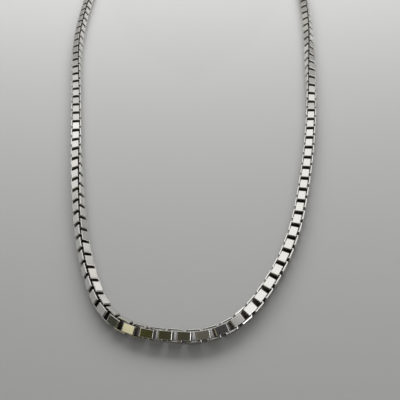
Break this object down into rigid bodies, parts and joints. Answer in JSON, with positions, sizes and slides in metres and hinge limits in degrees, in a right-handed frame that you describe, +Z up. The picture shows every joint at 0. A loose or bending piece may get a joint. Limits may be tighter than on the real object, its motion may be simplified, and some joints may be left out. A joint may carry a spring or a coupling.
{
  "type": "box chain necklace",
  "caption": "Square-section silver chain necklace of interlocking bent-strip links, closed by a round clasp and two jump rings, laid flat as a long loop.",
  "frame": {"origin": "on the surface that the necklace lies on, under the middle of its bounding box", "axes": "+Z up, +Y from the front of the loop to the clasp at the back, +X to the right as seen from the front"},
  "size_m": [0.0848, 0.1923, 0.005],
  "materials": {
    "polished_silver": "polished, with fine scratches and darker hollows",
    "ring_silver": "polished round wire",
    "clasp_silver": "polished"
  },
  "bodies": {
    "root": {"box_links": "polished_silver", "jump_ring_right": "ring_silver", "jump_ring_left": "ring_silver", "clasp": "clasp_silver"}
  },
  "joints": []
}
